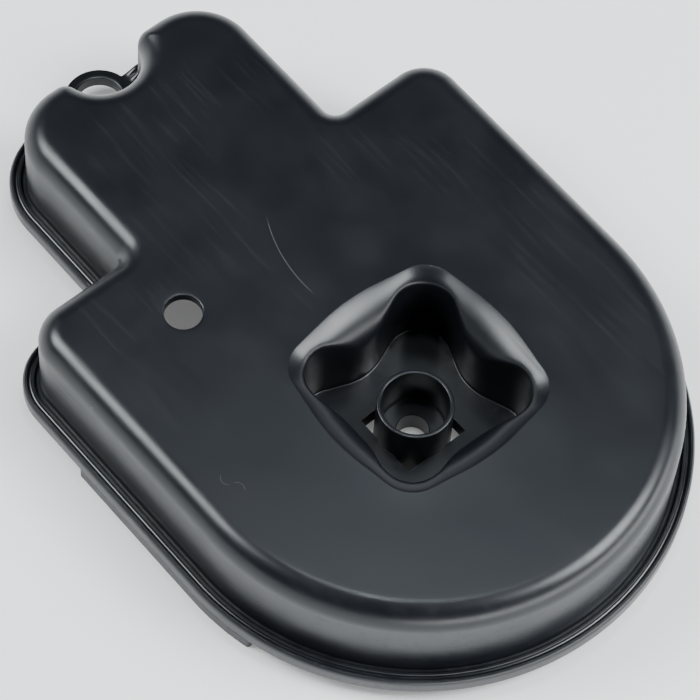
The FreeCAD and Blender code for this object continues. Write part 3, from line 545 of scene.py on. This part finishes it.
class Recipe:
    """One procedural material, built node by node in the row's own coordinates."""

    def __init__(self, name, roughness, **extra):
        self.material = bpy.data.materials.new(name)
        self.material.use_nodes = True
        self.tree = self.material.node_tree
        self.shader = self.tree.nodes["Principled BSDF"]
        self.shader.inputs["Roughness"].default_value = roughness
        for key, number in extra.items():
            self.shader.inputs[key.replace("_", " ")].default_value = number
        self.place = self.tree.nodes.new("ShaderNodeTexCoord").outputs["Object"]

    def over(self, name, share, color):
        """Lay a colour over what drives an input of the shader already."""
        socket = self.shader.inputs[name]
        below = socket.links[0].from_socket
        self.tree.links.new(self.mix(share, below, color), socket)

    def add(self, kind, out=0, inputs=(), **settings):
        """Add a node; inputs are (index or name, number or socket) pairs."""
        node = self.tree.nodes.new("ShaderNode" + kind)
        for key, setting in settings.items():
            setattr(node, key, setting)
        for key, source in inputs:
            if isinstance(source, bpy.types.NodeSocket):
                self.tree.links.new(source, node.inputs[key])
            else:
                node.inputs[key].default_value = source
        return node.outputs[out]

    def noise(self, size, detail=3.0, stretch=(1, 1, 1)):
        """Soft noise from 0 to 1 with lumps of about the given size in millimetres."""
        place = self.add("Mapping", inputs=[("Vector", self.place), ("Scale", stretch)])
        return self.add("TexNoise", inputs=[("Vector", place), ("Scale", 1 / (size * MM)),
                                            ("Detail", detail)])

    def remap(self, source, low, high, to_low=0.0, to_high=1.0):
        """A smooth step from to_low to to_high while the source goes from low to high."""
        return self.add("MapRange", interpolation_type="SMOOTHSTEP",
                        inputs=[("Value", source), ("From Min", low), ("From Max", high),
                                ("To Min", to_low), ("To Max", to_high)])

    def math(self, operation, first, second=0.0):
        """One sum of two numbers or sockets."""
        return self.add("Math", operation=operation, inputs=[(0, first), (1, second)])

    def mix(self, share, first, second):
        """A colour between two colours."""
        colors = [(*c, 1) if isinstance(c, tuple) else c for c in (first, second)]
        return self.add("Mix", out=2, data_type="RGBA",
                        inputs=[(0, share), (6, colors[0]), (7, colors[1])])

    def wear(self, width):
        """1 on convex edges within about width millimetres, 0 on flat faces."""
        soft = self.add("Bevel", samples=6, inputs=[("Radius", width * MM)])
        hard = self.add("NewGeometry", out="Normal")
        return self.remap(self.add("VectorMath", out="Value", operation="DOT_PRODUCT",
                                   inputs=[(0, soft), (1, hard)]), 0.995, 0.88)

    def bump(self, height, depth, strength=1.0):
        """Raise the surface by the height times depth millimetres."""
        old = self.shader.inputs["Normal"]
        inputs = [("Height", height), ("Distance", depth * MM), ("Strength", strength)]
        if old.links:
            inputs.append(("Normal", old.links[0].from_socket))
        self.tree.links.new(self.add("Bump", inputs=inputs), old)

    def away_from(self, spot, flat=True):
        """Distance in millimetres from a spot; flat leaves the height out."""
        keep = (1 / MM, 1 / MM, 0 if flat else 1 / MM)
        place = self.add("VectorMath", operation="MULTIPLY", inputs=[(0, self.place), (1, keep)])
        return self.add("VectorMath", out="Value", operation="DISTANCE",
                        inputs=[(0, place), (1, spot)])

    def hairline(self, centre, radius, middle, reach, width):
        """1 on a thin arc round the centre, seen only near its middle point."""
        off = self.math("ABSOLUTE", self.math("SUBTRACT", self.away_from((*centre, 0)), radius))
        near = self.remap(self.away_from((*middle, 0)), reach, 0.7 * reach)
        return self.math("MULTIPLY", self.remap(off, width, 0.3 * width), near)

    def specks(self, spacing, size):
        """1 on sparse dots of about the given size, one in some cells of the given spacing."""
        cells = [("Vector", self.place), ("Scale", 1 / (spacing * MM))]
        near = self.remap(self.add("TexVoronoi", out="Distance", inputs=cells),
                          size / spacing, 0.5 * size / spacing)
        chance = self.add("SeparateColor", out="Red",
                          inputs=[("Color", self.add("TexVoronoi", out="Color", inputs=cells))])
        return self.math("MULTIPLY", near, self.remap(chance, 0.55, 0.6))

    def feed(self, name, source):
        """Drive one input of the shader."""
        self.tree.links.new(source, self.shader.inputs[name])


def plastic_recipe(name, dark, light, roughness, worn):
    """Black moulded plastic: mottled, faintly streaked along X, with paler rubbed edges."""
    recipe = Recipe(name, roughness, Specular_IOR_Level=0.5)
    mottle = recipe.noise(14, 4.0)
    streaks = recipe.remap(recipe.noise(1.1, 2.0, (0.06, 1, 1)), 0.5, 0.75)
    patches = recipe.remap(recipe.noise(30, 2.0), 0.42, 0.62)
    rubbed = recipe.math("MULTIPLY", streaks, patches)
    color = recipe.mix(mottle, dark, light)
    wear = recipe.math("MULTIPLY", recipe.wear(0.35), recipe.remap(recipe.noise(5), 0.35, 0.7))
    recipe.feed("Base Color", recipe.mix(wear, color, worn))
    uneven = recipe.remap(mottle, 0.3, 0.7, roughness - 0.03, roughness + 0.03)
    recipe.feed("Roughness", recipe.math("ADD", uneven, recipe.math("MULTIPLY", rubbed, 0.08)))
    recipe.bump(recipe.noise(0.45, 2.0), 0.012, 0.5)
    recipe.bump(recipe.noise(11, 1.0), 0.10, 0.6)
    return recipe


def tray_plastic(name):
    """The tray's plastic, a little paler and duller than the cover's."""
    return plastic_recipe(name, (0.013, 0.014, 0.016), (0.020, 0.021, 0.024), 0.40,
                          (0.055, 0.058, 0.063)).material


def cover_plastic(name):
    """The cover's plastic, with its scratches, faint specks and a faint gate mark."""
    recipe = plastic_recipe(name, (0.0040, 0.0047, 0.0064), (0.0062, 0.0071, 0.0094), 0.31,
                            (0.05, 0.053, 0.058))
    scratch = recipe.hairline(*LONG_SCRATCH)
    for curl in CURLS:
        scratch = recipe.math("MAXIMUM", scratch, recipe.hairline(*curl))
    pale = recipe.math("MAXIMUM", recipe.math("MULTIPLY", scratch, 0.55),
                       recipe.specks(11, 0.22))
    recipe.over("Base Color", pale, (0.13, 0.13, 0.13))
    ragged = recipe.math("ADD", recipe.away_from(GATE, flat=False),
                         recipe.math("MULTIPLY", recipe.noise(0.6), 1.2))
    recipe.over("Base Color", recipe.remap(ragged, 1.5, 1.2), (0.002, 0.002, 0.002))
    recipe.bump(recipe.remap(ragged, 1.6, 1.0), 0.15)
    return recipe.material


def soft_rubber(name, dark, light, roughness):
    """Moulded rubber: dull, mottled, with a fine skin and paler rubbed edges."""
    recipe = Recipe(name, roughness, Specular_IOR_Level=0.3)
    color = recipe.mix(recipe.noise(3, 4.0), dark, light)
    wear = recipe.math("MULTIPLY", recipe.wear(0.25), recipe.noise(2))
    recipe.feed("Base Color", recipe.mix(wear, color, tuple(3 * c + 0.01 for c in light)))
    recipe.feed("Roughness", recipe.remap(recipe.noise(6), 0.3, 0.7, roughness - 0.08,
                                          roughness + 0.08))
    recipe.bump(recipe.noise(0.3, 2.0), 0.02)
    return recipe.material


def filter_paper(name):
    """Resin-soaked paper: warm, fibrous, a little darker in patches."""
    recipe = Recipe(name, 0.8, Specular_IOR_Level=0.25)
    fibres = recipe.noise(0.5, 4.0, (1, 0.25, 1))
    base = recipe.mix(recipe.noise(9), (0.50, 0.37, 0.19), (0.62, 0.49, 0.28))
    recipe.feed("Base Color", recipe.mix(fibres, base, (0.42, 0.31, 0.16)))
    recipe.feed("Roughness", recipe.remap(fibres, 0.3, 0.7, 0.7, 0.9))
    recipe.bump(fibres, 0.04)
    return recipe.material


def open_foam(name):
    """Reticulated foam: dark open cells between paler strands."""
    recipe = Recipe(name, 0.85, Specular_IOR_Level=0.2)
    cells = recipe.add("TexVoronoi", feature="DISTANCE_TO_EDGE", out="Distance",
                       inputs=[("Vector", recipe.place), ("Scale", 1 / (0.9 * MM))])
    strand = recipe.remap(cells, 0.16, 0.03)
    shade = recipe.mix(recipe.noise(12), (0.018, 0.020, 0.022), (0.030, 0.033, 0.036))
    recipe.feed("Base Color", recipe.mix(strand, (0.003, 0.003, 0.003), shade))
    recipe.feed("Roughness", recipe.remap(strand, 0, 1, 0.95, 0.7))
    recipe.bump(strand, 0.25)
    return recipe.material


def fibre_gasket(name):
    """Compressed fibre sheet with flecks."""
    recipe = Recipe(name, 0.8, Specular_IOR_Level=0.3)
    flecks = recipe.remap(recipe.noise(0.35, 3.0), 0.58, 0.68)
    base = recipe.mix(recipe.noise(5), (0.075, 0.085, 0.075), (0.11, 0.12, 0.105))
    recipe.feed("Base Color", recipe.mix(flecks, base, (0.24, 0.24, 0.21)))
    recipe.feed("Roughness", recipe.remap(flecks, 0, 1, 0.85, 0.7))
    recipe.bump(recipe.noise(0.4, 3.0), 0.03)
    return recipe.material


def plated_steel(name, color, roughness):
    """Zinc-plated steel: bright, cloudy and duller in patches, with fine turning marks."""
    recipe = Recipe(name, roughness, Metallic=1.0)
    cloud = recipe.noise(1.5, 4.0)
    dull = tuple(0.6 * c for c in color)
    recipe.feed("Base Color", recipe.mix(recipe.math("MULTIPLY", cloud, 0.8), color, dull))
    recipe.feed("Roughness", recipe.remap(cloud, 0.3, 0.7, roughness - 0.08, roughness + 0.12))
    recipe.bump(recipe.noise(0.15, 2.0), 0.01, 0.6)
    return recipe.material


MATERIALS = {
    "black_plastic": cover_plastic("moulded_black"),
    "tray_plastic": tray_plastic("tray_black"),
    "rubber": soft_rubber("black_rubber", (0.010, 0.010, 0.011), (0.018, 0.018, 0.019), 0.62),
    "filter_rubber": soft_rubber("filter_rubber", (0.045, 0.050, 0.052), (0.07, 0.076, 0.078),
                                 0.55),
    "wire": plated_steel("galvanised_wire", (0.52, 0.54, 0.56), 0.38),
    "paper": filter_paper("filter_paper"),
    "foam": open_foam("filter_foam"),
    "gasket": fibre_gasket("fibre_gasket"),
    "steel": plated_steel("zinc_steel", (0.62, 0.62, 0.60), 0.30),
}


# ---------------------------------------------------------------- woven wire

def woven_wire(name, reach, pitch, wire, level, keeps):
    """Crossing wires that weave over and under each other, kept where keeps(x, y) is true."""
    skin = Skin()
    sides, fine = 6, 4
    count = int(reach / pitch)
    for along in (0, 1):
        for row in range(-count, count + 1):
            strand = []
            for step in range(-count * fine, count * fine + 1):
                far, side = step * pitch / fine, (row + 0.5) * pitch
                x, y = (far, side) if along == 0 else (side, far)
                if keeps(x, y):
                    weave = math.cos(math.pi * (step / fine - 0.5 + row + along))
                    strand.append((far, side, level + weave * wire * 0.55))
                    continue
                add_strand(skin, strand, along, wire / 2, sides)
                strand = []
            add_strand(skin, strand, along, wire / 2, sides)
    return skin.build(name)


def add_strand(skin, strand, along, radius, sides):
    """Add one wire through the given (along, side, height) points, closed at both ends."""
    if len(strand) < 3:
        return
    rings = []
    for far, side, height in strand:
        first = len(skin.points)
        for k in range(sides):
            angle = 2 * math.pi * k / sides
            reach, rise = side + radius * math.cos(angle), height + radius * math.sin(angle)
            skin.points.append((far, reach, rise) if along == 0 else (reach, far, rise))
        rings.append(range(first, len(skin.points)))
    skin.stack(rings)
    skin.faces += [tuple(rings[0]), tuple(reversed(rings[-1]))]


def middle_of(node):
    """The middle of a node's box in millimetres."""
    low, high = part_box(node)
    return (low + high) / 2 / MM


def make_screen():
    """The outlet's backfire screen."""
    centre = middle_of("backfire_screen")
    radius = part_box("backfire_screen")[1].x / MM - centre.x
    pitch, wire = 1.1, 0.2
    screen = woven_wire("screen_wires", radius, pitch, wire, centre.z,
                        lambda x, y: math.hypot(x, y) < radius - wire)
    screen.data.transform(Matrix.Translation(Vector((centre.x, centre.y, 0)) * MM))
    return screen


# ---------------------------------------------------------------- pieces and their finish

def finish(piece, body, node, slot):
    """Let a new piece stand for a node: its body, its material and its slot."""
    piece.data.materials.clear()
    piece.data.materials.append(MATERIALS[slot])
    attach(piece, body)
    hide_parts(node)


cover = make_cover()
smooth(cover)
finish(cover, "cover", "cover_shell", "black_plastic")
screen = make_screen()
smooth(screen, 60)
finish(screen, "tray", "backfire_screen", "wire")
for part in frame["record"]["subparts"]:
    node = NODES[part["node"]]
    node.data.materials[0] = MATERIALS[part["material_slot"]]


# ---------------------------------------------------------------- stage, light and camera

def light_table():
    """The floor's pale, faintly glowing material."""
    recipe = Recipe("light_table", 0.9)
    recipe.shader.inputs["Base Color"].default_value = (0.88, 0.88, 0.88, 1)
    recipe.shader.inputs["Emission Color"].default_value = (1, 1, 1, 1)
    recipe.shader.inputs["Emission Strength"].default_value = 0.15
    return recipe.material


def make_floor():
    """A pale floor just under the part's lowest point."""
    half = 3.0
    level = float(CAD_BOX[0][2]) - 0.2 * MM
    mesh = bpy.data.meshes.new("floor")
    corners = [(-half, -half, level), (half, -half, level), (half, half, level),
               (-half, half, level)]
    mesh.from_pydata(corners, [], [(0, 1, 2, 3)])
    floor = bpy.data.objects.new("floor", mesh)
    bpy.context.scene.collection.objects.link(floor)
    floor.data.materials.append(light_table())


def soft_light(name, azimuth, elevation, distance, size, power, color):
    """A rectangular lamp that faces the part; azimuth is counted from +X towards +Y."""
    turn, rise = math.radians(azimuth), math.radians(elevation)
    way = Vector((math.cos(turn) * math.cos(rise), math.sin(turn) * math.cos(rise),
                  math.sin(rise)))
    data = bpy.data.lights.new(name, "AREA")
    data.shape = "RECTANGLE"
    data.size, data.size_y = size
    data.energy = power
    data.color = color
    light = bpy.data.objects.new(name, data)
    aim = Vector((-0.02, 0, 0.02))
    light.location = aim + way * distance
    light.rotation_euler = (-way).to_track_quat("-Z", "Y").to_euler()
    bpy.context.scene.collection.objects.link(light)
    return light


def make_camera():
    """The photograph's point of view: a long lens from high up, rolled a little."""
    azimuth, elevation, roll = math.radians(45.6), math.radians(59.96), math.radians(4.93)
    distance = 0.7752
    aim = Vector((-0.02366, 0.00307, 0.0031))
    ahead = Vector((-math.sin(azimuth) * math.cos(elevation),
                    math.cos(azimuth) * math.cos(elevation), -math.sin(elevation)))
    data = bpy.data.cameras.new("camera")
    data.lens = 189.12
    data.sensor_width = 36.0
    camera = bpy.data.objects.new("camera", data)
    rotation = ahead.to_track_quat("-Z", "Y").to_matrix() @ Matrix.Rotation(roll, 3, "Z")
    camera.matrix_world = Matrix.Translation(aim - ahead * distance) @ rotation.to_4x4()
    bpy.context.scene.collection.objects.link(camera)
    bpy.context.scene.camera = camera


def make_world():
    """A dim studio: dark overhead, paler towards the horizon."""
    world = bpy.data.worlds.new("studio")
    world.use_nodes = True
    tree = world.node_tree
    place = tree.nodes.new("ShaderNodeTexCoord").outputs["Generated"]
    split = tree.nodes.new("ShaderNodeSeparateXYZ")
    tree.links.new(place, split.inputs[0])
    rise = tree.nodes.new("ShaderNodeMapRange")
    rise.inputs["From Min"].default_value = 0.0
    rise.inputs["From Max"].default_value = 0.35
    rise.inputs["To Min"].default_value = 2.4
    rise.inputs["To Max"].default_value = 0.015
    tree.links.new(split.outputs["Z"], rise.inputs["Value"])
    background = tree.nodes["Background"]
    background.inputs["Color"].default_value = (0.93, 0.97, 1.0, 1)
    tree.links.new(rise.outputs[0], background.inputs["Strength"])
    bpy.context.scene.world = world


make_floor()
make_world()
COOL, NEAR_WHITE, WHITE = (0.86, 0.94, 1.0), (0.93, 0.97, 1.0), (1, 1, 1)
soft_light("strip", 118, 71, 0.75, (0.28, 0.10), 0.36, (0.80, 0.92, 1.0))
soft_light("key", 130, 84, 0.6, (0.05, 0.05), 0.5, COOL)
soft_light("left", 222, 48, 0.9, (0.42, 0.42), 9, NEAR_WHITE)
soft_light("right", 40, 48, 0.9, (0.42, 0.42), 10, NEAR_WHITE)
soft_light("front", 10, 8, 1.0, (2.4, 0.34), 14, (0.97, 0.98, 1.0))
fill = soft_light("fill", 60, 70, 1.4, (1.6, 1.6), 11, WHITE)
fill.visible_glossy = False
make_camera()
